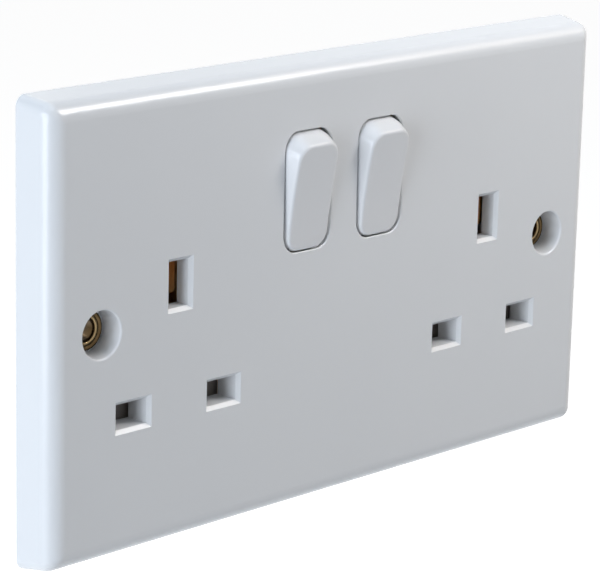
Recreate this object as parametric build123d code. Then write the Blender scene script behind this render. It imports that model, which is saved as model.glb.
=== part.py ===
from build123d import *
import math
import os

# Twin switched wall socket, in millimetres. X runs to the right, Y into the wall and Z up.
# The origin is the middle of the plate's rear rim, where it meets the wall, and the front faces -Y.

# Faceplate moulding
plate_width = 146.0
plate_height = 86.0
plate_depth = 8.2
plate_draft = 8.5
plate_edge_round = 3.5
plate_corner_round = 2.2
plate_wall = 2.4
rim_wall = 2.4
seat_gap = 0.1
rib_thickness = 1.2
rib_height = 3.6
rib_pitch_x = 24.0
rib_place_z = 22.0

# Fixings: recess in the plate's face, eyelet at its bottom
fixing_inset = 12.7
recess_radius = 4.4
recess_depth = 4.9
recess_lip_round = 0.4
boss_wall = 1.8
eyelet_bore_radius = 2.1
eyelet_wall = 0.6
eyelet_flange_radius = 3.9
eyelet_flange_thickness = 0.6
eyelet_dish_radius = 3.0
eyelet_rear_flange_radius = 3.4
eyelet_gap = 0.05
housing_notch_gap = 1.6

# Outlets: the pins' own sizes and the standard spacing between them
outlet_inset = 31.35
earth_z = 6.1
pin_spacing_x = 22.2
pin_spacing_z = 22.2
pin_width = 6.35
pin_thickness = 4.0
earth_pin_width = 4.0
earth_pin_height = 8.0
slot_gap_width = 0.45
slot_gap_thickness = 0.37
earth_gap_width = 0.35
earth_gap_height = 0.35
slot_chamfer = 0.7
earth_boss_depth = 3.6
pin_boss_depth = 5.5
slot_boss_wall = 1.3

# Rockers
rocker_spacing = 19.4
rocker_pivot_y = -3.8
rocker_pivot_z = 18.8
rocker_opening_width = 12.3
rocker_opening_height = 22.8
rocker_opening_round = 3.4
rocker_opening_lip = 0.25
rocker_side_gap = 0.25
rocker_end_gap = 0.25
rocker_tilt = 11.0
rocker_shoulder = 3.2
rocker_face = 5.0
rocker_face_half_height = 10.1
rocker_side_draft = 22.0
rocker_face_curve = 75.0
rocker_edge_round = 0.5
rocker_wall = 1.5
rocker_skirt = 0.6
trunnion_radius = 1.5
trunnion_length = 1.6
running_gap = 0.06
bearing_wall = 1.5
bearing_rise = 1.4

# Plunger and its spring, in the post behind each rocker
post_radius = 2.5
post_reach = 8.4
post_bore_radius = 1.45
post_bore_floor = -1.6
plunger_gap = 0.08
plunger_reach = 14.2
plunger_stem_start = 3.2
spring_gap = 0.12

# Seesaw moving contact, driven by the plunger
seesaw_gap = 0.35
seesaw_thickness = 0.8
seesaw_bend = 16.0
seesaw_tilt = 9.0
seesaw_arm = 9.4
seesaw_half_width = 2.7
seesaw_lug_radius = 0.75
seesaw_lug_root = 0.9
seesaw_ear_gap = 0.35
seesaw_tip_reach = 8.0
tip_radius = 1.5
tip_height = 0.8
contact_gap = 0.1

# Sheet brass strips, lying on the housing's floor, and their lanes
strip_thickness = 0.8
strip_y = 13.4
strip_width = 3.6
neutral_lane_z = -3.6
lower_lane_drop = 7.9
lug_margin = 0.8

# Earth strap, flat behind the plate
strap_y = -1.4
strap_width = 4.0
strap_rise = 5.2
strap_centre_z = 0.5
strap_drop_inset = 9.15
strap_ring_radius = 5.0

# Socket contacts
leaf_thickness = 0.8
pin_contact_mouth_y = 0.9
pin_contact_width = 6.6
contact_pinch = 0.1
contact_flare = 0.6
contact_belly = 0.3
grip_start_share = 0.3
belly_share = 0.6
grip_end_share = 0.85
leaf_corner_round = 1.0
earth_contact_front = 3.7
earth_contact_rear = 9.6
earth_contact_height = 6.6
earth_contact_drop = 3.0

# Shutters, pushed down by the earth pin
shutter_travel = 6.5
shutter_gap = 0.2
shutter_setback = 0.9
shutter_thickness = 1.4
shutter_overlap = 0.75
shutter_arm_half_width = 3.4
shutter_window_half_width = 2.0
ramp_half_width = 1.2
ramp_gap = 0.2
ramp_drop = 2.0
shutter_spring_radius = 1.6
shutter_spring_length = 9.6
shutter_stop_height = 1.8
shutter_stop_rise = 3.7

# Terminals
terminal_rise = 1.4
terminal_cell_gap = 1.6
terminal_width = 7.5
terminal_height = 9.0
terminal_depth = 10.1
wire_bore_radius = 2.4
wire_bore_wall = 2.6
screw_radius = 1.7
screw_bore_gap = 0.08
screw_head_radius = 2.6
screw_head_height = 1.6
screw_travel = 3.5
screw_slot = 0.7
screw_point_chamfer = 0.4
screw_head_round = 0.4

# Rear housing
housing_wall = 1.6
housing_round = 2.0
floor_thickness = 2.0
cell_wall = 1.2
cell_gap = 0.3
pillar_radius = 3.3
pillar_inset_x = 5.2
pillar_inset_z = 3.5
pillar_centre_z = -14.0
self_tap_radius = 1.45
self_tap_head_radius = 2.3
self_tap_head_height = 1.8
self_tap_length = 9.5
self_tap_clearance = 0.15
self_tap_point = 0.7
self_tap_head_round = 0.9
cross_width = 0.75
cross_depth = 0.9
well_depth = 11.0

# Springs
wire_radius = 0.2
plunger_spring_turns = 5
shutter_spring_turns = 7

# Places worked out from the sizes above
face_y = -plate_depth
plate_inner_y = face_y + plate_wall
floor_y = strip_y + strip_thickness
housing_rear_y = floor_y + floor_thickness
housing_front_y = plate_inner_y + seat_gap
strap_rear_y = strap_y + strip_thickness
fixing_x = plate_width / 2 - fixing_inset
outlet_x = plate_width / 2 - outlet_inset
pin_z = earth_z - pin_spacing_z
lower_lane_z = pin_z - lower_lane_drop
strap_top_z = earth_z + strap_rise
strap_drop_x = outlet_x - strap_drop_inset
earth_contact_low_z = earth_z - earth_contact_drop
shutter_stop_z = pin_z + shutter_stop_rise
shutter_front_y = face_y + pin_boss_depth + shutter_setback
shutter_rear_y = shutter_front_y + shutter_thickness
slot_width = pin_width + 2 * slot_gap_width
slot_height = pin_thickness + 2 * slot_gap_thickness
earth_slot_width = earth_pin_width + 2 * earth_gap_width
earth_slot_height = earth_pin_height + 2 * earth_gap_height
recess_floor_y = face_y + recess_depth
terminal_rear_y = strap_rear_y + terminal_depth
wire_bore_y = strap_rear_y + wire_bore_wall + wire_bore_radius
pin_reach_x = outlet_x + pin_spacing_x / 2
fixing_boss_radius = recess_radius + boss_wall
housing_half_width = pin_reach_x + slot_width / 2 + slot_boss_wall + cell_gap + housing_wall
housing_notch_x = fixing_x - fixing_boss_radius - housing_notch_gap
housing_notch_half_height = fixing_boss_radius + 2 * cell_gap
terminal_z = rocker_pivot_z + seesaw_tip_reach + terminal_rise
housing_half_height = terminal_z + terminal_height / 2 + cell_gap
pillar_corner_x = housing_half_width - pillar_inset_x
pillar_corner_z = housing_half_height - pillar_inset_z
bay_half_width = terminal_width / 2 + cell_gap
switch_cell_half_width = rocker_opening_width / 2 + seat_gap + cell_wall
terminal_line_x = rocker_spacing / 2 + switch_cell_half_width + terminal_cell_gap + cell_wall + bay_half_width
terminal_earth_x = pillar_corner_x - pillar_radius - seat_gap - cell_wall - bay_half_width
live_lane_z = -housing_notch_half_height - housing_wall - cell_gap - strip_width / 2
strap_leg_x = housing_half_width + cell_gap + strap_width / 2
seesaw_y = rocker_pivot_y + plunger_reach + seesaw_gap + seesaw_thickness / 2


def block(x0, x1, y0, y1, z0, z1):
    """A box between two corners."""
    centre = ((x0 + x1) / 2, (y0 + y1) / 2, (z0 + z1) / 2)
    return Pos(*centre) * Box(x1 - x0, y1 - y0, z1 - z0)


def upright(sketch, y0, y1):
    """A sketch drawn in X and Z, made solid from y0 back to y1."""
    plane = Plane((0, y1, 0), x_dir=(1, 0, 0), z_dir=(0, -1, 0))
    return extrude(plane * sketch, y1 - y0)


def rod_y(x, z, radius, y0, y1):
    """A round rod along Y."""
    return upright(Pos(x, z) * Circle(radius), y0, y1)


def rod_x(y, z, radius, x0, x1):
    """A round rod along X."""
    return Pos((x0 + x1) / 2, y, z) * Rot(0, 90, 0) * Cylinder(radius, x1 - x0)


def sideways(points, x0, x1):
    """An outline of (y, z) points, made solid from x0 to x1."""
    plane = Plane((x0, 0, 0), x_dir=(0, 1, 0), z_dir=(1, 0, 0))
    return extrude(plane * make_face(Polyline(*points, close=True)), x1 - x0)


def bent_sheet(points, thickness):
    """The outline of a sheet bent along the given line, thickened to the line's left."""
    inner = Polyline(*points)
    outer = offset(inner, thickness, side=Side.LEFT, closed=False)
    ends = [Line(inner @ 0, outer @ 0), Line(inner @ 1, outer @ 1)]
    if (inner @ 0 - outer @ 0).length > 2 * thickness:
        ends = [Line(inner @ 0, outer @ 1), Line(inner @ 1, outer @ 0)]
    return make_face([inner, outer, *ends])


def coil(radius, length, turns):
    """A compression spring along +Z, standing on Z = 0."""
    pitch = (length - 2 * wire_radius) / turns
    path = Helix(pitch, pitch * turns, radius - wire_radius)
    start = Plane(path @ 0, z_dir=path % 0)
    return Pos(0, 0, wire_radius) * sweep(start * Circle(wire_radius), path, is_frenet=True)


def about_rocker(part, angle):
    """Turns a part about the rocker's pivot axis."""
    pivot = Pos(0, rocker_pivot_y, rocker_pivot_z)
    return pivot * Rot(angle, 0, 0) * pivot.inverse() * part


def outlets():
    return (-outlet_x, outlet_x)


def rocker_places():
    return (-rocker_spacing / 2, rocker_spacing / 2)


def terminal_places():
    return (-terminal_earth_x, -terminal_line_x, terminal_line_x, terminal_earth_x)


def pillar_places():
    corners = [(x, z) for x in (-pillar_corner_x, pillar_corner_x) for z in (-pillar_corner_z, pillar_corner_z)]
    return corners + [(0, pillar_centre_z)]


def slot_places():
    """Every slot as (x, z, width, height, boss depth)."""
    places = []
    for x in outlets():
        places.append((x, earth_z, earth_slot_width, earth_slot_height, earth_boss_depth))
        for side in (-1, 1):
            places.append((x + side * pin_spacing_x / 2, pin_z, slot_width, slot_height, pin_boss_depth))
    return places


def opening_swing():
    """Distance from the rocker's pivot to the opening's top and bottom edges, at the plate's face."""
    return math.hypot(rocker_pivot_y - face_y, rocker_opening_height / 2)


def swing_barrel(radius, width, corner):
    """A barrel round the rocker's pivot axis with rounded shoulders."""
    section = RectangleRounded(width, 2 * radius, corner) & Pos(0, radius) * Rectangle(width, 2 * radius)
    return Pos(0, rocker_pivot_y, rocker_pivot_z) * revolve(section, Axis.X)


def plate_shell():
    """The plate's outer form: drafted sides, a big rounding round the front and rounded corners."""
    plane = Plane((0, 0, 0), x_dir=(1, 0, 0), z_dir=(0, -1, 0))
    body = extrude(plane * Rectangle(plate_width, plate_height), plate_depth, taper=plate_draft)
    body = fillet(body.edges().group_by(Axis.Y)[0], plate_edge_round)
    corners = []
    for edge in body.edges():
        size = edge.bounding_box().size
        if size.Y > plate_edge_round / 2 and size.X < plate_width / 2 and size.Z < plate_height / 2:
            corners.append(edge)
    body = fillet(corners, plate_corner_round)
    pocket = Rectangle(plate_width - 2 * rim_wall, plate_height - 2 * rim_wall)
    inner = extrude(plane * pocket, plate_depth - plate_wall, taper=plate_draft)
    corner_round = max(plate_corner_round - rim_wall, 0) + seat_gap
    return body - fillet(inner.edges().group_by(Axis.Y)[0], corner_round)


def plate_ribs():
    """Stiffening ribs between the rim and the rear housing."""
    reach_x = plate_width / 2 - rim_wall
    reach_z = plate_height / 2 - rim_wall
    rear = plate_inner_y + rib_height
    ribs = []
    for x in [step * rib_pitch_x for step in (-2, -1, 0, 1, 2)]:
        for side in (-1, 1):
            z0, z1 = sorted((side * (housing_half_height + cell_gap), side * reach_z))
            ribs.append(block(x - rib_thickness / 2, x + rib_thickness / 2, plate_inner_y, rear, z0, z1))
    for z in (-rib_place_z, rib_place_z):
        for side in (-1, 1):
            x0, x1 = sorted((side * (housing_half_width + cell_gap), side * reach_x))
            ribs.append(block(x0, x1, plate_inner_y, rear, z - rib_thickness / 2, z + rib_thickness / 2))
    return ribs


def bearing_rib(x, side):
    """Half-open bearing beside a rocker, with the notch open to the rear."""
    x0 = x + side * rocker_opening_width / 2
    x1 = x0 + side * bearing_wall
    low, high = sorted((x0, x1))
    rear = rocker_pivot_y + bearing_rise
    half = trunnion_radius + running_gap
    rib = block(low, high, plate_inner_y, rear, rocker_pivot_z - 2 * half, rocker_pivot_z + 2 * half)
    rib -= rod_x(rocker_pivot_y, rocker_pivot_z, half, low, high)
    return rib - block(low, high, rocker_pivot_y, rear, rocker_pivot_z - half, rocker_pivot_z + half)


def faceplate():
    body = plate_shell()
    housing_room = upright(housing_outline(housing_wall + cell_gap), plate_inner_y, 0)
    for x, z, width, height, depth in slot_places():
        boss = Pos(x, z) * Rectangle(width + 2 * slot_boss_wall, height + 2 * slot_boss_wall)
        body += upright(boss, plate_inner_y, face_y + depth)
    for side in (-1, 1):
        body += rod_y(side * fixing_x, 0, fixing_boss_radius, plate_inner_y, strap_y)
    for x, z in pillar_places():
        body += rod_y(x, z, pillar_radius, plate_inner_y, strap_y - shutter_gap) & housing_room
    body += plate_ribs()
    for x in rocker_places():
        body += [bearing_rib(x, side) for side in (-1, 1)]
        body -= Pos(x, 0, 0) * swing_barrel(opening_swing(), rocker_opening_width, rocker_opening_round)
    lips = []
    for edge in body.edges().filter_by_position(Axis.Y, face_y - running_gap, face_y + running_gap):
        if abs(edge.center().X) < rocker_spacing and abs(edge.center().Z - rocker_pivot_z) < rocker_opening_height:
            lips.append(edge)
    body = fillet(lips, rocker_opening_lip)
    for x in outlets():
        body += block(
            x - shutter_window_half_width + shutter_gap, x + shutter_window_half_width - shutter_gap,
            plate_inner_y, shutter_rear_y - shutter_gap, shutter_stop_z, shutter_stop_z + shutter_stop_height,
        )
    for x, z, width, height, depth in slot_places():
        body -= upright(Pos(x, z) * Rectangle(width, height), face_y, face_y + depth)
        mouth = Pos(x, z) * Rectangle(width + 2 * slot_chamfer, height + 2 * slot_chamfer)
        plane = Plane((0, face_y, 0), x_dir=(1, 0, 0), z_dir=(0, 1, 0))
        body -= extrude(plane * mirror(mouth, Plane.XZ), slot_chamfer, taper=45)
    for side in (-1, 1):
        recess = rod_y(side * fixing_x, 0, recess_radius, face_y, recess_floor_y)
        body -= recess
        body -= rod_y(side * fixing_x, 0, eyelet_bore_radius + eyelet_wall + eyelet_gap, face_y, 0)
    lips = []
    for edge in body.edges().filter_by(GeomType.CIRCLE).filter_by_position(Axis.Y, face_y - 0.01, face_y + 0.01):
        if abs(edge.radius - recess_radius) < seat_gap and abs(abs(edge.arc_center.X) - fixing_x) < seat_gap:
            lips.append(edge)
    body = fillet(lips, recess_lip_round)
    for x, z in pillar_places():
        body -= rod_y(x, z, self_tap_radius + running_gap, plate_inner_y, 0)
    return body


def fixing_eyelet(side):
    """Brass bush riveted through the plate and the earth strap, dished at the front."""
    x = side * fixing_x
    barrel = eyelet_bore_radius + eyelet_wall
    flange_front = recess_floor_y - eyelet_flange_thickness
    body = rod_y(x, 0, barrel, flange_front, 0)
    body += rod_y(x, 0, eyelet_flange_radius, flange_front, recess_floor_y)
    body += rod_y(x, 0, eyelet_rear_flange_radius, strap_rear_y, 0)
    body -= rod_y(x, 0, eyelet_bore_radius, flange_front, 0)
    dish_depth = eyelet_dish_radius - eyelet_bore_radius
    dish = Pos(x, flange_front + dish_depth / 2, 0) * Rot(90, 0, 0) * Cone(
        eyelet_bore_radius, eyelet_dish_radius, dish_depth
    )
    return body - dish


def rocker(x):
    """Rocker in its ON position: the bottom pressed in and the top standing out."""
    swing = opening_swing() - rocker_end_gap
    half_width = rocker_opening_width / 2 - rocker_side_gap
    half_height = math.sqrt(swing**2 - rocker_shoulder**2)
    corner = rocker_opening_round - rocker_side_gap
    crown = rocker_face_half_height**2 / (2 * rocker_face_curve)
    cap_height = rocker_face + crown + rocker_edge_round - rocker_shoulder
    cap_top = rocker_shoulder + cap_height
    side_inset = cap_height * math.tan(math.radians(rocker_side_draft))
    end_inset = (half_height - rocker_face_half_height) * cap_height / (cap_height - rocker_edge_round)
    front = Plane((x, rocker_pivot_y, rocker_pivot_z), x_dir=(1, 0, 0), z_dir=(0, -1, 0))
    base = RectangleRounded(2 * half_width, 2 * half_height, corner)
    top = RectangleRounded(2 * (half_width - side_inset), 2 * (half_height - end_inset), corner - side_inset / 2)
    body = loft([front.offset(rocker_shoulder) * base, front.offset(cap_top) * top], ruled=True)
    body += extrude(front.offset(-rocker_skirt) * base, rocker_shoulder + rocker_skirt)
    bowl_y = rocker_pivot_y - rocker_face - rocker_face_curve
    body -= rod_x(bowl_y, rocker_pivot_z, rocker_face_curve, x - rocker_opening_width, x + rocker_opening_width)
    bowl = [f for f in body.faces().filter_by(GeomType.CYLINDER) if f.radius > rocker_face_curve / 2]
    body = fillet(bowl[0].edges(), rocker_edge_round)
    hollow = RectangleRounded(
        2 * (half_width - rocker_wall), 2 * (half_height - rocker_wall), corner - rocker_wall / 2
    )
    body -= extrude(front.offset(-rocker_skirt) * hollow, rocker_skirt + rocker_shoulder)
    body += extrude(front.offset(-post_reach) * Circle(post_radius), post_reach + rocker_shoulder)
    body -= extrude(front.offset(-post_reach) * Circle(post_bore_radius), post_reach - post_bore_floor)
    for side in (-1, 1):
        ends = sorted((x + side * (half_width - rocker_wall), x + side * (half_width + trunnion_length)))
        body += rod_x(rocker_pivot_y, rocker_pivot_z, trunnion_radius, *ends)
        ends = sorted((x + side * (half_width - rocker_wall), x + side * half_width))
        web = block(*ends, rocker_pivot_y, rocker_pivot_y + rocker_skirt + trunnion_radius,
                    rocker_pivot_z - 2 * trunnion_radius, rocker_pivot_z + 2 * trunnion_radius)
        body += web
    return about_rocker(body, rocker_tilt)


def plunger(x):
    """Plunger in the rocker's post, with a rounded nose."""
    stem_radius = post_bore_radius - plunger_gap
    nose_y = rocker_pivot_y + plunger_reach - stem_radius
    body = rod_y(x, rocker_pivot_z, stem_radius, rocker_pivot_y + plunger_stem_start, nose_y)
    body += Pos(x, nose_y, rocker_pivot_z) * Sphere(stem_radius)
    return about_rocker(body, rocker_tilt)


def plunger_spring(x):
    length = plunger_stem_start - post_bore_floor
    turns = coil(post_bore_radius - spring_gap, length - 2 * running_gap, plunger_spring_turns)
    start = rocker_pivot_y + post_bore_floor + running_gap
    return about_rocker(Pos(x, start, rocker_pivot_z) * Rot(-90, 0, 0) * turns, rocker_tilt)


def seesaw_pose(part):
    """Places a part drawn about the seesaw's own axis, tipped to its ON position."""
    return Pos(0, seesaw_y, rocker_pivot_z) * Rot(-seesaw_tilt, 0, 0) * part


def moving_contact(x):
    """Seesaw blade, bent towards the plunger, with a round lug on each side to turn on."""
    body = None
    for side in (-1, 1):
        arm = Pos(x, 0, side * seesaw_arm / 2) * Box(2 * seesaw_half_width, seesaw_thickness, seesaw_arm)
        arm = Rot(side * seesaw_bend, 0, 0) * arm
        body = arm if body is None else body + arm
    lug_reach = seesaw_half_width + seesaw_ear_gap + strip_thickness + seesaw_ear_gap
    for side in (-1, 1):
        ends = sorted((x + side * (seesaw_half_width - seesaw_lug_root), x + side * lug_reach))
        body += rod_x(0, 0, seesaw_lug_radius, *ends)
    return seesaw_pose(body)


def moving_tip(x):
    """Silver tip riveted to the back of the seesaw's upper arm."""
    start = seesaw_thickness / 2
    tip = rod_y(x, seesaw_tip_reach, tip_radius, start, start + tip_height)
    return seesaw_pose(Rot(seesaw_bend, 0, 0) * tip)


def tip_place():
    """Where the closed contact lies: (y of the moving tip's rear, z of its centre)."""
    angle = math.radians(seesaw_bend - seesaw_tilt)
    back = seesaw_thickness / 2 + tip_height
    y = seesaw_y - seesaw_tip_reach * math.sin(angle) + back * math.cos(angle)
    z = rocker_pivot_z + seesaw_tip_reach * math.cos(angle) + back * math.sin(angle)
    return y + tip_radius * math.sin(angle), z


def fixed_tip(x):
    y, z = tip_place()
    return rod_y(x, z, tip_radius, y + contact_gap, y + contact_gap + tip_height)


def strip(points, y0, width=None):
    """A flat strip run through (x, z) points, square at its corners."""
    half = (width or strip_width) / 2
    body = None
    for (x0, z0), (x1, z1) in zip(points, points[1:]):
        piece = block(
            min(x0, x1) - half, max(x0, x1) + half, y0, y0 + strip_thickness, min(z0, z1) - half, max(z0, z1) + half
        )
        body = piece if body is None else body + piece
    return body


def terminal_tab(x):
    """Tab against a line terminal's rear, with a clearance hole for its screw."""
    half = strip_width
    top = terminal_z + terminal_height / 2 - lug_margin
    low = terminal_z - terminal_height / 2 - 2 * strip_thickness
    tab = block(x - half, x + half, terminal_rear_y, terminal_rear_y + strip_thickness, low, top)
    return tab - rod_y(x, terminal_z, screw_radius + 4 * screw_bore_gap, terminal_rear_y, floor_y)


def live_busbar():
    """Bar behind the two fixed tips, stepped forward to the live terminal."""
    tip_y, tip_z = tip_place()
    y0 = tip_y + contact_gap + tip_height
    half = strip_width / 2
    left, right = rocker_places()
    end = terminal_line_x - strip_width
    body = block(left - half, end, y0, y0 + strip_thickness, tip_z - half, tip_z + half)
    body += block(end - strip_thickness, end, terminal_rear_y, y0 + strip_thickness, tip_z - half, tip_z + half)
    return body + terminal_tab(terminal_line_x) + block(
        end - strip_thickness, end + strip_thickness, terminal_rear_y, terminal_rear_y + strip_thickness,
        tip_z - half, tip_z + half,
    )


def live_link(x, pin_x):
    """Strip from the seesaw's cradle to a live contact, with two ears that carry the seesaw."""
    points = [(x, rocker_pivot_z), (x, live_lane_z), (pin_x, live_lane_z), (pin_x, pin_z)]
    body = strip(points, strip_y)
    inner = seesaw_half_width + seesaw_ear_gap
    half = 2 * seesaw_lug_radius + strip_thickness / 2
    body += block(
        x - inner - strip_thickness, x + inner + strip_thickness, strip_y, floor_y,
        rocker_pivot_z - half, rocker_pivot_z + half,
    )
    for side in (-1, 1):
        x0, x1 = sorted((x + side * inner, x + side * (inner + strip_thickness)))
        front = seesaw_y - seesaw_lug_radius
        ear = block(x0, x1, front, strip_y, rocker_pivot_z - half, rocker_pivot_z + half)
        notch = seesaw_lug_radius + running_gap
        ear -= rod_x(seesaw_y, rocker_pivot_z, notch, x0, x1)
        ear -= block(x0, x1, front, seesaw_y, rocker_pivot_z - notch, rocker_pivot_z + notch)
        body += ear
    return body


def neutral_busbar():
    """One stamping from the neutral terminal to both neutral contacts."""
    left = -pin_reach_x
    right = outlet_x - pin_spacing_x / 2
    step_z = terminal_z - terminal_height / 2 - 2 * strip_thickness
    half = strip_width / 2
    x = -terminal_line_x
    points = [(x, step_z - half), (x, neutral_lane_z), (-outlet_x, neutral_lane_z), (-outlet_x, live_lane_z)]
    points += [(left, live_lane_z), (left, lower_lane_z), (right, lower_lane_z), (right, pin_z)]
    body = strip(points, strip_y)
    body += block(x - half, x + half, terminal_rear_y, strip_y, step_z, step_z + strip_thickness)
    body += block(x - half, x + half, strip_y, floor_y, step_z - half, step_z + strip_thickness)
    return body + terminal_tab(x)


def pin_contact(x):
    """Sprung U of sheet brass that grips a live or neutral pin from above and below."""
    grip = pin_thickness / 2 - contact_pinch
    flare = grip + contact_flare
    depth = strip_y - strip_thickness - pin_contact_mouth_y
    upper = [
        (pin_contact_mouth_y, flare),
        (pin_contact_mouth_y + grip_start_share * depth, grip),
        (pin_contact_mouth_y + belly_share * depth, grip + contact_belly),
        (strip_y - strip_thickness, flare),
    ]
    lower = [(y, -z) for y, z in upper]
    line = upper + lower[::-1]
    plane = Plane((x - pin_contact_width / 2, 0, pin_z), x_dir=(0, 1, 0), z_dir=(1, 0, 0))
    return extrude(plane * bent_sheet(line, leaf_thickness), pin_contact_width)


def earth_contact(x):
    """Two sprung leaves that grip the earth pin from the sides, hung from a web on the earth strap."""
    grip = earth_pin_width / 2 - contact_pinch
    flare = grip + contact_flare
    web_rear = belly_share * earth_contact_rear
    line = [
        (-earth_contact_front, flare),
        (strap_rear_y, grip),
        (web_rear, grip + contact_belly),
        (grip_end_share * earth_contact_rear, grip),
        (earth_contact_rear, flare),
    ]
    top = strap_top_z - strip_thickness
    body = None
    for side in (-1, 1):
        points = [(side * dx, y) for y, dx in line]
        if side > 0:
            points = points[::-1]
        face = bent_sheet(points, leaf_thickness)
        leaf = extrude(Pos(x, 0, earth_contact_low_z) * face, earth_contact_height)
        corners = leaf.edges().filter_by(lambda edge: abs(edge.length - leaf_thickness) < running_gap)
        leaf = fillet(corners.group_by(Axis.Y)[0], leaf_corner_round)
        neck = extrude(Pos(x, 0, earth_contact_low_z) * face, top + strip_thickness - earth_contact_low_z)
        neck = neck & block(x - outlet_x, x + outlet_x, strap_rear_y, web_rear, earth_contact_low_z, strap_top_z)
        leaf += neck
        body = leaf if body is None else body + leaf
    half = grip + leaf_thickness
    body += block(x - half, x + half, strap_rear_y, web_rear, top, strap_top_z)
    body += block(
        x - half, x + half, strap_rear_y, strap_rear_y + strip_thickness, top, strap_top_z + strap_width - lug_margin
    )
    return body


def earth_strap():
    """Flat stamping that joins the eyelets, the earth contacts and the earth terminals."""
    half = strap_width / 2
    low = strap_centre_z + half
    high = strap_top_z + half
    body = None
    for side in (-1, 1):
        drop = side * (strap_drop_x + half)
        leg = side * strap_leg_x
        points = [(0, low), (drop, low), (drop, high), (leg, high), (leg, 0)]
        piece = strip(points, strap_y, strap_width)
        piece += rod_y(side * fixing_x, 0, strap_ring_radius, strap_y, strap_rear_y)
        piece += strip(
            [(side * terminal_earth_x, high), (side * terminal_earth_x, terminal_z + half)], strap_y, strap_width
        )
        body = piece if body is None else body + piece
    for side in (-1, 1):
        body -= rod_y(side * fixing_x, 0, eyelet_bore_radius + eyelet_wall + eyelet_gap, strap_y, strap_rear_y)
    return body


def terminal_block(x):
    """Extruded brass block with a wire bore along Z and a clamp screw's hole from the rear."""
    half = terminal_height / 2
    body = block(
        x - terminal_width / 2, x + terminal_width / 2, strap_rear_y, terminal_rear_y, terminal_z - half, terminal_z + half
    )
    body = fillet(body.edges().filter_by(Axis.Z), wire_bore_wall / 3)
    body -= Pos(x, wire_bore_y, terminal_z) * Cylinder(wire_bore_radius, terminal_height)
    return body - rod_y(x, terminal_z, screw_radius + screw_bore_gap, wire_bore_y, terminal_rear_y)


def terminal_screw(x):
    """Slotted clamp screw, backed out so that the wire bore is clear."""
    under_head = terminal_rear_y + strip_thickness + screw_travel + seat_gap
    tip = wire_bore_y + wire_bore_radius + seat_gap
    body = rod_y(x, terminal_z, screw_radius, tip, under_head)
    body = chamfer(body.faces().sort_by(Axis.Y)[0].edges(), screw_point_chamfer)
    head = rod_y(x, terminal_z, screw_head_radius, under_head, under_head + screw_head_height)
    head = fillet(head.faces().sort_by(Axis.Y)[-1].edges(), screw_head_round)
    top = under_head + screw_head_height
    head -= block(
        x - screw_head_radius, x + screw_head_radius, top - screw_head_height / 2, top,
        terminal_z - screw_slot / 2, terminal_z + screw_slot / 2,
    )
    return body + head


def shutter(x):
    """Shutter with a wing over each lower slot, a sprung window and the ramp for the earth pin."""
    front = shutter_front_y
    rear = shutter_rear_y
    wing_half_width = pin_spacing_x / 2 + slot_width / 2 + shutter_overlap
    wing_low = pin_z - slot_height / 2 - shutter_overlap
    wing_high = pin_z + slot_height / 2 + shutter_overlap
    body = block(x - wing_half_width, x + wing_half_width, front, rear, wing_low, wing_high)
    arm_front = plate_inner_y + shutter_gap
    arm_top = earth_z - earth_slot_height / 2 - slot_boss_wall - shutter_gap
    body += block(x - shutter_arm_half_width, x + shutter_arm_half_width, arm_front, rear, wing_low, arm_top)
    window_low = shutter_stop_z - shutter_gap
    window_high = shutter_stop_z + shutter_stop_height + shutter_spring_length
    body -= block(
        x - shutter_window_half_width, x + shutter_window_half_width, arm_front, rear, window_low, window_high
    )
    ramp_front = face_y + earth_boss_depth + ramp_gap
    pin_low = earth_z - earth_pin_height / 2
    ramp_high = pin_low + shutter_travel - ramp_gap
    ramp_rear = ramp_front + ramp_high - arm_top
    outline = [(ramp_front, arm_top - ramp_gap), (ramp_front, arm_top + ramp_gap), (ramp_rear, ramp_high)]
    outline += [(ramp_rear + ramp_half_width, ramp_high), (ramp_rear + ramp_half_width, arm_top - ramp_drop)]
    outline += [(rear - ramp_gap, arm_top - ramp_drop), (rear - ramp_gap, arm_top - ramp_gap)]
    return body + sideways(outline, x - ramp_half_width, x + ramp_half_width)


def shutter_spring(x):
    low = shutter_stop_z + shutter_stop_height + running_gap
    centre_y = (plate_inner_y + shutter_rear_y - shutter_gap) / 2
    turns = coil(shutter_spring_radius, shutter_spring_length - 2 * running_gap, shutter_spring_turns)
    return Pos(x, centre_y, low) * turns


def housing_outline(inset):
    """Plan of the housing, cut in at the sides round the fixings."""
    half_width = housing_half_width - inset
    half_height = housing_half_height - inset
    notch_x = housing_notch_x - inset
    notch_z = housing_notch_half_height + inset
    sketch = Rectangle(2 * half_width, 2 * half_height)
    depth = half_width - notch_x
    for side in (-1, 1):
        sketch -= Pos(side * (notch_x + depth / 2), 0) * Rectangle(depth, 2 * notch_z)
    return fillet(sketch.vertices(), max(housing_round - inset, housing_round / 4))


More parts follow.
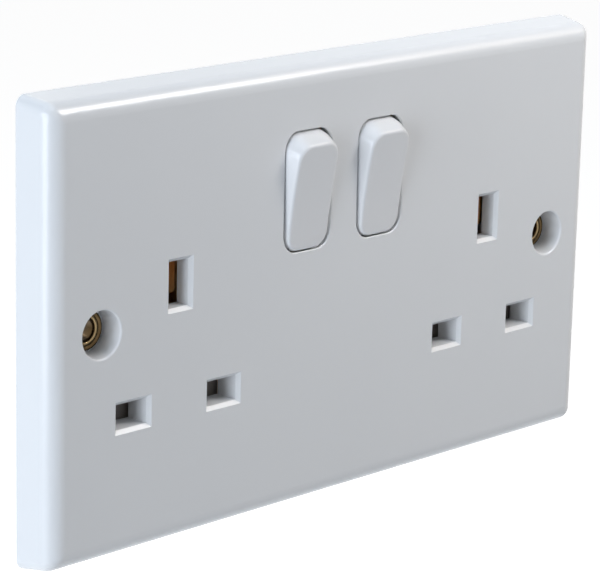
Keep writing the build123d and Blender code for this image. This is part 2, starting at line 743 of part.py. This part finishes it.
def rear_housing():
    body = upright(housing_outline(0), housing_front_y, housing_rear_y)
    body = chamfer(body.faces().sort_by(Axis.Y)[-1].edges(), housing_round / 4)
    body -= upright(housing_outline(housing_wall), housing_front_y, floor_y)
    cell_front = pin_contact_mouth_y
    # Side walls of the live and neutral contact cells
    half = pin_contact_width / 2 + cell_gap
    reach = pin_thickness / 2 + contact_flare + leaf_thickness + cell_gap
    for x in outlets():
        for side in (-1, 1):
            pin_x = x + side * pin_spacing_x / 2
            for edge in (-1, 1):
                x0, x1 = sorted((pin_x + edge * half, pin_x + edge * (half + cell_wall)))
                body += block(x0, x1, cell_front, floor_y, pin_z - reach, pin_z + reach)
    # Side walls of the earth contact cells, and a clearance pit in the floor for the pin's end
    half = earth_pin_width / 2 + contact_flare + leaf_thickness + cell_gap
    for x in outlets():
        for edge in (-1, 1):
            x0, x1 = sorted((x + edge * half, x + edge * (half + cell_wall)))
            body += block(x0, x1, cell_front, floor_y, earth_contact_low_z, strap_top_z)
        pit = Pos(x, earth_z) * Rectangle(earth_slot_width + cell_gap, earth_slot_height + cell_gap)
        body -= upright(pit, floor_y, floor_y + floor_thickness / 2)
    # Switch cells, whose walls reach forward to hold the rockers' trunnions in
    cap_y = rocker_pivot_y + trunnion_radius + running_gap
    inner = rocker_opening_width / 2 + seat_gap
    lug_reach = seesaw_half_width + 2 * seesaw_ear_gap + strip_thickness
    low_z = rocker_pivot_z - rocker_opening_height / 2
    high_z = tip_place()[1] - strip_width / 2 - cell_gap
    for x in rocker_places():
        for edge in (-1, 1):
            x0, x1 = sorted((x + edge * inner, x + edge * (inner + cell_wall)))
            body += block(x0, x1, cell_front, floor_y, low_z, high_z)
            body += block(x0, x1, cap_y, cell_front, rocker_pivot_z - 2 * trunnion_radius,
                          rocker_pivot_z + 2 * trunnion_radius)
            x0, x1 = sorted((x + edge * (lug_reach + cell_gap), x + edge * inner))
            body += block(x0, x1, seesaw_y - tip_radius, floor_y, rocker_pivot_z - tip_radius,
                          rocker_pivot_z + tip_radius)
    # Ledges under the live busbar
    bar_y = tip_place()[0] + contact_gap + tip_height + strip_thickness
    bar_z = tip_place()[1]
    for x in (*rocker_places(), 0):
        body += block(x - cell_wall, x + cell_wall, bar_y, floor_y, bar_z - strip_width / 2, bar_z + strip_width / 2)
    # Terminal bays, open at the top for the wires and at the rear for the screws
    bay_half = bay_half_width
    bay_low = terminal_z - terminal_height / 2
    for x in terminal_places():
        for edge in (-1, 1):
            x0, x1 = sorted((x + edge * bay_half, x + edge * (bay_half + cell_wall)))
            body += block(x0, x1, cell_front, terminal_rear_y, bay_low, housing_half_height)
        body -= block(x - bay_half, x + bay_half, housing_front_y, terminal_rear_y + strip_thickness + cell_gap,
                      housing_half_height - housing_wall, housing_half_height)
        body -= rod_y(x, terminal_z, screw_head_radius + 2 * cell_gap, floor_y, housing_rear_y)
    # Slots for the earth strap where it leaves the housing
    clearance = cell_gap
    for side in (-1, 1):
        x0, x1 = sorted((side * (housing_half_width - 2 * housing_wall), side * housing_half_width))
        body -= block(x0, x1, housing_front_y, strap_rear_y + clearance, strap_top_z - clearance,
                      strap_top_z + strap_width + clearance)
    # Screw pillars, with deep wells open to the rear
    seat_y = strap_y - shutter_gap
    for x, z in pillar_places():
        body += rod_y(x, z, pillar_radius, seat_y, housing_rear_y)
        body -= rod_y(x, z, self_tap_head_radius + self_tap_clearance, housing_rear_y - well_depth, housing_rear_y)
        body -= rod_y(x, z, self_tap_radius + self_tap_clearance, seat_y, housing_rear_y)
    return body


def housing_screw(x, z):
    """Self-tapping screw, with a domed cross-recessed head."""
    under_head = housing_rear_y - well_depth
    body = rod_y(x, z, self_tap_radius, under_head - self_tap_length, under_head)
    body = chamfer(body.faces().sort_by(Axis.Y)[0].edges(), self_tap_point)
    head = rod_y(x, z, self_tap_head_radius, under_head, under_head + self_tap_head_height)
    head = fillet(head.faces().sort_by(Axis.Y)[-1].edges(), self_tap_head_round)
    top = under_head + self_tap_head_height
    for half_x, half_z in ((self_tap_radius, cross_width / 2), (cross_width / 2, self_tap_radius)):
        head -= block(x - half_x, x + half_x, top - cross_depth, top, z - half_z, z + half_z)
    return body + head


def write(name, part):
    export_step(part, f"parts/{name}.step")


def main():
    os.makedirs("parts", exist_ok=True)
    write("faceplate", faceplate())
    write("rear_housing", rear_housing())
    sides = {"left": -1, "right": 1}
    for name, side in sides.items():
        x = side * rocker_spacing / 2
        outlet = side * outlet_x
        write(f"rocker_{name}", rocker(x))
        write(f"plunger_{name}", plunger(x))
        write(f"plunger_spring_{name}", plunger_spring(x))
        write(f"moving_contact_{name}", moving_contact(x))
        write(f"moving_tip_{name}", moving_tip(x))
        write(f"fixed_tip_{name}", fixed_tip(x))
        write(f"live_link_{name}", live_link(x, outlet + pin_spacing_x / 2))
        write(f"live_contact_{name}", pin_contact(outlet + pin_spacing_x / 2))
        write(f"neutral_contact_{name}", pin_contact(outlet - pin_spacing_x / 2))
        write(f"earth_contact_{name}", earth_contact(outlet))
        write(f"fixing_eyelet_{name}", fixing_eyelet(side))
        write(f"shutter_{name}", shutter(outlet))
        write(f"shutter_spring_{name}", shutter_spring(outlet))
    write("live_busbar", live_busbar())
    write("neutral_busbar", neutral_busbar())
    write("earth_strap", earth_strap())
    names = ("earth_left", "neutral", "live", "earth_right")
    for name, x in zip(names, terminal_places()):
        write(f"terminal_{name}", terminal_block(x))
        write(f"terminal_screw_{name}", terminal_screw(x))
    screws = [housing_screw(x, z) for x, z in pillar_places()]
    write("housing_screws", Compound(children=screws))


main()
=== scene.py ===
import math

import bmesh
import bpy
from mathutils import Matrix, Vector


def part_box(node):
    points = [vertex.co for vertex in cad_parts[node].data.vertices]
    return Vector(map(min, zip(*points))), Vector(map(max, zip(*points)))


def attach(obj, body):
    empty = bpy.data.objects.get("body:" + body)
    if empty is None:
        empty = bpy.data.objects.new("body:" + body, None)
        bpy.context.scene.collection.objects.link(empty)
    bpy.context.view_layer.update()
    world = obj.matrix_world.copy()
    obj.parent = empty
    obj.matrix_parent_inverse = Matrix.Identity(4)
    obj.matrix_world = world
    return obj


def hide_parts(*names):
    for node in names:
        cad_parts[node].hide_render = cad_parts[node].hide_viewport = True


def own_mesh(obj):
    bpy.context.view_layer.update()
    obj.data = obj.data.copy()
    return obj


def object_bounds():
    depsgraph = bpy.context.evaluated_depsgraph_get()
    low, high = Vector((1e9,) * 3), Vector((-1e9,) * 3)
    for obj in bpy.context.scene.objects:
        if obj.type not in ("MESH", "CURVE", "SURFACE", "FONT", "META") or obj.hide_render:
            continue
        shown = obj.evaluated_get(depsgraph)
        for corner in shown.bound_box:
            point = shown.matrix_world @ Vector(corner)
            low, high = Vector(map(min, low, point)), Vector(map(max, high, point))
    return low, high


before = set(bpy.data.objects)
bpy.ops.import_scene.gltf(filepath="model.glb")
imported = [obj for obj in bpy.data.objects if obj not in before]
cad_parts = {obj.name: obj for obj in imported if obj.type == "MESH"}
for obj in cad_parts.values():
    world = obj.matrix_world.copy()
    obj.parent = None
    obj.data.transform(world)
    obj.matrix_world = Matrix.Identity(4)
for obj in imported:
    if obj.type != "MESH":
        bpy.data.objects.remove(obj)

cad_low, cad_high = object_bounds()


class Surface:
    """A node material with one Principled shader."""

    def __init__(self, name, **constants):
        self.material = bpy.data.materials.new(name)
        self.material.use_nodes = True
        self.tree = self.material.node_tree
        self.tree.nodes.clear()
        output = self.add("ShaderNodeOutputMaterial")
        self.shader = self.add("ShaderNodeBsdfPrincipled")
        self.link(self.shader.outputs["BSDF"], output.inputs["Surface"])
        for socket, value in constants.items():
            self.shader.inputs[socket.replace("_", " ")].default_value = value
        self.points = self.add("ShaderNodeTexCoord").outputs["Object"]
        self.normal = None

    def add(self, kind):
        return self.tree.nodes.new(kind)

    def link(self, source, target):
        self.tree.links.new(source, target)

    def stretched(self, scale):
        """Object coordinates scaled apart along X, Y and Z."""
        mapping = self.add("ShaderNodeMapping")
        mapping.inputs["Scale"].default_value = scale
        self.link(self.points, mapping.inputs["Vector"])
        return mapping.outputs["Vector"]

    def noise(self, scale, detail=3.0, rough=0.5, stretch=None):
        node = self.add("ShaderNodeTexNoise")
        node.inputs["Scale"].default_value = scale
        node.inputs["Detail"].default_value = detail
        node.inputs["Roughness"].default_value = rough
        self.link(self.stretched(stretch) if stretch else self.points, node.inputs["Vector"])
        return node.outputs["Fac"]

    def ranged(self, value, low, high, start=0.3, end=0.7):
        """Maps a noise onto a range of plain numbers."""
        node = self.add("ShaderNodeMapRange")
        node.inputs["From Min"].default_value = start
        node.inputs["From Max"].default_value = end
        node.inputs["To Min"].default_value = low
        node.inputs["To Max"].default_value = high
        self.link(value, node.inputs["Value"])
        return node.outputs["Result"]

    def ramp(self, value, stops):
        """Maps a noise onto a row of (place, colour) stops."""
        node = self.add("ShaderNodeValToRGB")
        elements = node.color_ramp.elements
        while len(elements) < len(stops):
            elements.new(0.5)
        for element, (place, colour) in zip(elements, stops):
            element.position = place
            element.color = (*colour, 1.0)
        self.link(value, node.inputs["Fac"])
        return node.outputs["Color"]

    def bump(self, height, distance, strength=1.0):
        """Adds one more bump on top of the last."""
        node = self.add("ShaderNodeBump")
        node.inputs["Strength"].default_value = strength
        node.inputs["Distance"].default_value = distance
        self.link(height, node.inputs["Height"])
        if self.normal:
            self.link(self.normal, node.inputs["Normal"])
        self.normal = node.outputs["Normal"]
        self.link(self.normal, self.shader.inputs["Normal"])

    def paint(self, socket, source):
        self.link(source, self.shader.inputs[socket])


def moulded(name, pale, deep, low_gloss, high_gloss, grain=0.000001):
    """Moulded plastic: faint cloudiness, uneven gloss, slight sinking and a fine grain."""
    surface = Surface(name, IOR=1.5)
    surface.paint("Base Color", surface.ramp(surface.noise(18.0, 2.0), [(0.35, deep), (0.62, pale)]))
    surface.paint("Roughness", surface.ranged(surface.noise(120.0, 2.0), low_gloss, high_gloss, 0.0, 1.0))
    surface.bump(surface.noise(30.0, 0.0), 0.00003, 0.4)
    surface.bump(surface.noise(2600.0, 2.0), grain, 0.5)
    return surface.material


def sheet_metal(name, pale, deep, low_gloss, high_gloss, grain, stretch):
    """Metal with fine lines the way of the stretch, small stains and an uneven gloss."""
    surface = Surface(name, Metallic=1.0)
    surface.paint("Base Color", surface.ramp(surface.noise(420.0, 5.0), [(0.3, deep), (0.66, pale)]))
    lines = surface.noise(900.0, 4.0, 0.6, stretch)
    surface.paint("Roughness", surface.ranged(lines, low_gloss, high_gloss))
    surface.bump(lines, grain, 0.5)
    return surface.material


plate_white = moulded("white_moulding", (0.835, 0.845, 0.855), (0.82, 0.83, 0.842), 0.22, 0.28)
rocker_white = moulded("rocker_moulding", (0.825, 0.83, 0.84), (0.81, 0.815, 0.828), 0.20, 0.26)
housing_white = moulded("housing_moulding", (0.72, 0.72, 0.71), (0.67, 0.67, 0.66), 0.42, 0.56, 0.00002)
shutter_grey = moulded("shutter_moulding", (0.30, 0.27, 0.25), (0.25, 0.22, 0.20), 0.45, 0.6)
plunger_plastic = moulded("plunger_moulding", (0.55, 0.54, 0.50), (0.50, 0.49, 0.45), 0.35, 0.5)

# Scales along X, Y and Z that draw a metal's noise out into lines, or leave it even
along_z = (1.0, 1.0, 0.08)
along_y = (1.0, 0.1, 1.0)
partly_along_y = (1.0, 0.2, 1.0)
even = (1.0, 1.0, 1.0)
coarse = 0.00001
fine = 0.000005
leaf_brass = sheet_metal("leaf_brass", (0.95, 0.66, 0.33), (0.84, 0.52, 0.24), 0.34, 0.5, coarse, along_z)
turned_brass = sheet_metal(
    "turned_brass", (0.80, 0.62, 0.34), (0.66, 0.49, 0.25), 0.22, 0.36, coarse, along_y)
# The eyelet's metal is darkened nearly to black: painted shade and painted dark reflections of the recess it
# sits in
eyelet_metal_painted_shade = sheet_metal(
    "eyelet_metal_painted_shade", (0.11, 0.072, 0.034), (0.06, 0.04, 0.018), 0.16, 0.28, coarse, along_y)
# A paler metal for a ring of the eyelet's front faces: a painted highlight on the rim
eyelet_painted_highlight_ring = sheet_metal("eyelet_painted_highlight_ring", (0.34, 0.25, 0.13), (0.22, 0.15, 0.08), 0.16, 0.28, coarse, along_y)
silver = sheet_metal("contact_silver", (0.86, 0.85, 0.82), (0.74, 0.73, 0.70), 0.2, 0.35, fine, even)
spring_steel = sheet_metal("spring_steel", (0.62, 0.62, 0.63), (0.48, 0.48, 0.50), 0.22, 0.38, fine, even)
screw_steel = sheet_metal(
    "screw_steel", (0.70, 0.70, 0.69), (0.55, 0.55, 0.54), 0.25, 0.42, coarse, partly_along_y)

# The finish of each node, by the longest of these that its name starts with
finishes = {
    "faceplate": plate_white, "rear_housing": housing_white, "rocker": rocker_white,
    "plunger_spring": spring_steel, "plunger": plunger_plastic,
    "moving_contact": leaf_brass, "moving_tip": silver, "fixed_tip": silver,
    "live": leaf_brass, "neutral": leaf_brass, "earth": leaf_brass, "fixing_eyelet": eyelet_metal_painted_shade,
    "shutter_spring": spring_steel, "shutter": shutter_grey,
    "terminal_screw": turned_brass, "terminal": turned_brass, "housing_screws": screw_steel,
}
for name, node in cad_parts.items():
    stem = max((key for key in finishes if name.startswith(key)), key=len)
    node.data.materials.clear()
    node.data.materials.append(finishes[stem])


def facing(forward, up):
    """Rotation of a lamp or camera that looks along forward."""
    back = -Vector(forward).normalized()
    right = Vector(up).cross(back).normalized()
    return Matrix((right, back.cross(right), back)).transposed().to_4x4()


camera_place = (-0.3735, -0.3647, 0.1326)
camera_angles = (45.46, -14.69, -1.41)
image_width = 600.0
focal_length_in_pixels = 2809.0


def camera():
    """The photograph's view: from the left front, a little above."""
    yaw, pitch, roll = (math.radians(angle) for angle in camera_angles)
    forward = Vector((math.sin(yaw) * math.cos(pitch), math.cos(yaw) * math.cos(pitch), math.sin(pitch)))
    up = Vector((math.cos(yaw), -math.sin(yaw), 0.0)).cross(forward)
    data = bpy.data.cameras.new("camera")
    data.sensor_width = 36.0
    data.lens = data.sensor_width * focal_length_in_pixels / image_width
    data.clip_start = 0.01
    data.clip_end = 50.0
    seen = bpy.data.objects.new("camera", data)
    bpy.context.scene.collection.objects.link(seen)
    turn = Matrix.Rotation(roll, 4, forward)
    seen.matrix_world = Matrix.Translation(camera_place) @ turn @ facing(forward, up)
    bpy.context.scene.camera = seen


def softbox(name, direction, distance, width, height, radiance, colour):
    """A rectangular lamp that looks at the middle of the object."""
    data = bpy.data.lights.new(name, "AREA")
    data.shape = "RECTANGLE"
    data.size = width
    data.size_y = height
    data.energy = radiance * math.pi * width * height
    data.color = colour
    lamp = bpy.data.objects.new(name, data)
    bpy.context.scene.collection.objects.link(lamp)
    place = Vector(direction).normalized() * distance
    lamp.matrix_world = Matrix.Translation(place) @ facing(-place, (0.0, 0.0, 1.0))


def white_for_camera(tree, plain, white, output):
    """Shows white to camera, glossy and transmission rays, and lights with the plain level."""
    path = tree.nodes.new("ShaderNodeLightPath")
    first = tree.nodes.new("ShaderNodeMath")
    first.operation = "MAXIMUM"
    tree.links.new(path.outputs["Is Camera Ray"], first.inputs[0])
    tree.links.new(path.outputs["Is Glossy Ray"], first.inputs[1])
    second = tree.nodes.new("ShaderNodeMath")
    second.operation = "MAXIMUM"
    tree.links.new(first.outputs[0], second.inputs[0])
    tree.links.new(path.outputs["Is Transmission Ray"], second.inputs[1])
    mix = tree.nodes.new("ShaderNodeMixShader")
    tree.links.new(second.outputs[0], mix.inputs["Fac"])
    tree.links.new(plain, mix.inputs[1])
    tree.links.new(white, mix.inputs[2])
    tree.links.new(mix.outputs[0], output)


sky_level = 0.04
floor_glow = 0.93
floor_reach = 3.0
floor_drop = 0.4


def surroundings():
    """A world that is seen white, and a pale floor well below the plate."""
    world = bpy.data.worlds.new("studio")
    world.use_nodes = True
    bpy.context.scene.world = world
    tree = world.node_tree
    tree.nodes.clear()
    output = tree.nodes.new("ShaderNodeOutputWorld")
    soft = tree.nodes.new("ShaderNodeBackground")
    soft.inputs["Color"].default_value = (0.97, 0.98, 1.0, 1.0)
    soft.inputs["Strength"].default_value = sky_level
    white = tree.nodes.new("ShaderNodeBackground")
    white.inputs["Color"].default_value = (1.0, 1.0, 1.0, 1.0)
    white.inputs["Strength"].default_value = 1.0
    white_for_camera(tree, soft.outputs[0], white.outputs[0], output.inputs["Surface"])

    mesh = bpy.data.meshes.new("floor")
    level = cad_low.z - floor_drop
    corners = [(x * floor_reach, y * floor_reach, level) for x, y in ((-1, -1), (1, -1), (1, 1), (-1, 1))]
    mesh.from_pydata(corners, [], [(0, 1, 2, 3)])
    floor = bpy.data.objects.new("floor", mesh)
    bpy.context.scene.collection.objects.link(floor)
    material = bpy.data.materials.new("floor_white")
    material.use_nodes = True
    tree = material.node_tree
    tree.nodes.clear()
    output = tree.nodes.new("ShaderNodeOutputMaterial")
    diffuse = tree.nodes.new("ShaderNodeBsdfDiffuse")
    diffuse.inputs["Color"].default_value = (0.86, 0.86, 0.86, 1.0)
    glow = tree.nodes.new("ShaderNodeEmission")
    glow.inputs["Strength"].default_value = floor_glow
    both = tree.nodes.new("ShaderNodeAddShader")
    tree.links.new(diffuse.outputs[0], both.inputs[0])
    tree.links.new(glow.outputs[0], both.inputs[1])
    white_for_camera(tree, diffuse.outputs[0], both.outputs[0], output.inputs["Surface"])
    mesh.materials.append(material)


# Rockers, in millimetres about a centre behind the plate's face. Places are (Y, Z), tilts are in
# degrees, and a front is a height towards the viewer.
rocker_x = 9.7
rocker_centre = (-3.8, 18.74)
rocker_pivot = (-3.8, 18.8)
rocker_tilt = 9.0
post_tilt = 11.0
swing_radius = 11.92
half_width = 5.9
corner_round = 3.7
corner_tightening = 0.25
shoulder = 3.2
skirt = 0.6
side_draft = 16.0
face_front = 5.8
face_curve = 145.0
edge_round = 0.45
shell_wall = 1.5
post_radius = 2.5
post_bore_radius = 1.45
post_bore_floor = -1.6
post_reach = 8.4
trunnion_radius = 1.5
trunnion_root = 1.2
trunnion_length = 1.6
# Where the rings of points lie, and how many points or rings each rounding takes
inner_fronts = (shoulder, 1.2, -skirt)
outer_fronts = (-skirt, 0.4, 1.4, 2.4)
side_shares = (0.0, 0.04, 0.3, 0.6, 0.9)
arc_steps = 8
side_steps = 12
edge_steps = 5
bowl_steps = 12
settling_rounds = 6


def rounded_outline(across, along, corner):
    """Points round a rounded rectangle, as many whatever its size."""
    arcs = []
    for side_x, side_z, start in ((1, 1, 0), (-1, 1, 90), (-1, -1, 180), (1, -1, 270)):
        arc = []
        for step in range(arc_steps + 1):
            angle = math.radians(start + 90.0 * step / arc_steps)
            arc.append((side_x * (across - corner) + corner * math.cos(angle),
                        side_z * (along - corner) + corner * math.sin(angle)))
        arcs.append(arc)
    points = []
    for arc, following in zip(arcs, arcs[1:] + arcs[:1]):
        points += arc
        for step in range(1, side_steps):
            share = step / side_steps
            points.append(tuple(a + (b - a) * share for a, b in zip(arc[-1], following[0])))
    return points


def rocker_level(front, inset):
    """The rocker's outline at one height: barrel ends, drafted sides and corners that tighten upwards."""
    rise = max(front - shoulder, 0.0)
    across = half_width - rise * math.tan(math.radians(side_draft)) - inset
    along = math.sqrt(swing_radius**2 - front**2) - inset
    return rounded_outline(across, along, corner_round - corner_tightening * rise - inset)


def bowl_front(z):
    """Height of the concave face."""
    return face_front + z * z / (2.0 * face_curve)


def rocker_ring(share, inset=0.0, drop=0.0):
    """A ring a share of the way from the shoulder to the face, whose edge follows the bowl."""
    ring = []
    for index in range(len(rocker_level(0.0, 0.0))):
        front = shoulder
        for _ in range(settling_rounds):  # the outline and the bowl's height depend on each other
            x, z = rocker_level(front, inset)[index]
            front = shoulder + share * (bowl_front(z) - drop - shoulder)
        ring.append((x, -front, z))
    return ring


def flat_ring(front, inset=0.0):
    """A level ring below the shoulder."""
    return [(x, -front, z) for x, z in rocker_level(front, inset)]


def skin(work, rings, place):
    """Joins rings of points into a band of faces, and returns the rings' vertices."""
    loops = [[work.verts.new(place @ (Vector(point) * 0.001)) for point in ring] for ring in rings]
    for lower, upper in zip(loops, loops[1:]):
        for k in range(len(lower)):
            after = (k + 1) % len(lower)
            work.faces.new((lower[k], lower[after], upper[after], upper[k]))
    return loops


def turned_about(centre, tilt, x):
    """Places a form made about its own centre at a rocker, turned by tilt."""
    move = Matrix.Translation(Vector((x, centre[0], centre[1])) * 0.001)
    return move @ Matrix.Rotation(math.radians(tilt), 4, "X")


def finished(name, work, material, crease=35.0):
    """Makes an object of a mesh, with smooth faces and sharp edges where it folds."""
    bmesh.ops.recalc_face_normals(work, faces=work.faces)
    for face in work.faces:
        face.smooth = True
    for edge in work.edges:
        edge.smooth = edge.calc_face_angle(0.0) < math.radians(crease)
    mesh = bpy.data.meshes.new(name)
    work.to_mesh(mesh)
    work.free()
    mesh.materials.append(material)
    piece = bpy.data.objects.new(name, mesh)
    bpy.context.scene.collection.objects.link(piece)
    return piece


def circle(radius, y, steps=40):
    """A ring of points about the Y axis."""
    turns = [2.0 * math.pi * step / steps for step in range(steps)]
    return [(radius * math.cos(turn), y, radius * math.sin(turn)) for turn in turns]


def rocker(side_name, x):
    """A hollow rocker with a bowl-shaped face, its spring post and its two trunnions."""
    work = bmesh.new()
    place = turned_about(rocker_centre, rocker_tilt, x)
    inner = [flat_ring(front, shell_wall) for front in inner_fronts]
    outer = [flat_ring(front) for front in outer_fronts]
    sides = [rocker_ring(share, 0.0, edge_round) for share in side_shares]
    bend = [math.radians(90.0 * step / edge_steps) for step in range(edge_steps + 1)]
    rim = [
        rocker_ring(1.0, edge_round * (1 - math.cos(angle)), edge_round * (1 - math.sin(angle)))
        for angle in bend
    ]
    bowl = []
    for step in range(1, bowl_steps):
        scale = 1.0 - step / bowl_steps
        bowl.append([(px * scale, -bowl_front(pz * scale), pz * scale) for px, _, pz in rim[-1]])
    loops = skin(work, inner + outer + sides + rim + bowl, place)
    work.faces.new(loops[0])
    work.faces.new(loops[-1])

    post = turned_about(rocker_pivot, post_tilt, x)
    tube = [
        circle(post_bore_radius, post_bore_floor), circle(post_bore_radius, post_reach),
        circle(post_radius, post_reach), circle(post_radius, -shoulder),
    ]
    floor_of_bore = skin(work, tube, post)[0]
    work.faces.new(floor_of_bore)
    across = Matrix.Rotation(math.radians(90.0), 4, "Z")
    pivot = Matrix.Translation(Vector((x, rocker_pivot[0], rocker_pivot[1])) * 0.001) @ across
    for side in (-1, 1):
        reach = (half_width - trunnion_root, half_width + trunnion_length)
        for end in skin(work, [circle(trunnion_radius, side * y) for y in reach], pivot):
            work.faces.new(end)
    piece = finished(f"rocker_{side_name}_moulding", work, rocker_white)
    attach(piece, f"rocker_{side_name}")
    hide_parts(f"rocker_{side_name}")


# The eyelet's painted highlight, a paler ring, by radius and by depth behind its front, in millimetres
painted_highlight_from = 2.3
painted_highlight_to = 2.8
painted_highlight_depth = 0.4


def eyelet(side_name):
    """A turned bush: rolled rim, groove, a paler ring that is a painted highlight, and a bore with a soft
    lip.
    """
    node = f"fixing_eyelet_{side_name}"
    low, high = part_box(node)
    front, rear = low.y * 1000.0, high.y * 1000.0
    # Radius and Y in millimetres, from the rear flange round the rim to the bore
    profile = [
        (3.4, rear), (3.4, rear - 0.6), (2.75, rear - 0.6), (2.75, front + 0.62), (3.85, front + 0.62),
        (3.88, front + 0.3), (3.8, front + 0.1), (3.62, front), (3.4, front + 0.04), (3.2, front + 0.2),
        (3.05, front + 0.26), (2.9, front + 0.2), (2.7, front + 0.1), (2.5, front + 0.1), (2.3, front + 0.2),
        (2.16, front + 0.42), (2.1, front + 0.8), (2.1, rear - 0.3), (2.3, rear),
    ]
    work = bmesh.new()
    middle = (low.x + high.x) / 2
    rings = [circle(radius, y) for radius, y in profile + profile[:1]]
    skin(work, rings, Matrix.Translation((middle, 0, 0)))
    bmesh.ops.remove_doubles(work, verts=work.verts, dist=1e-6)
    # Faces in the ring take the paler second material, a painted highlight
    for face in work.faces:
        spot = face.calc_center_median()
        radius = math.hypot(spot.x - middle, spot.z) * 1000.0
        on_painted_highlight = painted_highlight_from < radius < painted_highlight_to and spot.y * 1000.0 < front + painted_highlight_depth
        face.material_index = 1 if on_painted_highlight else 0
    piece = finished(f"{node}_turned", work, eyelet_metal_painted_shade, 50.0)
    piece.data.materials.append(eyelet_painted_highlight_ring)
    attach(piece, "root")
    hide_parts(node)


def coil(node, body):
    """A spring's own copy of its mesh, attached to its body."""
    piece = bpy.data.objects.new(f"{node}_coil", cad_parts[node].data.copy())
    bpy.context.scene.collection.objects.link(piece)
    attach(piece, body)
    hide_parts(node)
    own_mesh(piece)


for side_name, side in (("left", -1), ("right", 1)):
    rocker(side_name, side * rocker_x)
    eyelet(side_name)
    coil(
        f"plunger_spring_{side_name}", f"rocker_{side_name}")
    coil(f"shutter_spring_{side_name}", "root")


# Each lamp's name, direction, distance, width, height, radiance and colour
lamps = [
    ("window_left", (-1.0, -0.16, 0.1), 1.2, 0.7, 0.9, 6.2, (0.82, 0.89, 0.98)),
    ("overhead", (-0.1, 0.1, 1.0), 1.0, 1.2, 0.9, 1.35, (0.66, 0.8, 0.96)),
    ("near_front", (0.55, -0.6, 0.8), 0.42, 0.16, 0.12, 14.6, (0.97, 0.965, 0.965)),
    ("key_right", (0.8, -0.4, 0.7), 1.0, 0.4, 0.4, 2.4, (1.0, 0.85, 0.7)),
    ("rear_fill", (0.25, 1.0, 0.45), 1.2, 1.0, 0.8, 1.8, (1.0, 1.0, 1.0)),
]
camera()
surroundings()
for lamp in lamps:
    softbox(*lamp)
bpy.context.scene.view_settings.view_transform = "Standard"
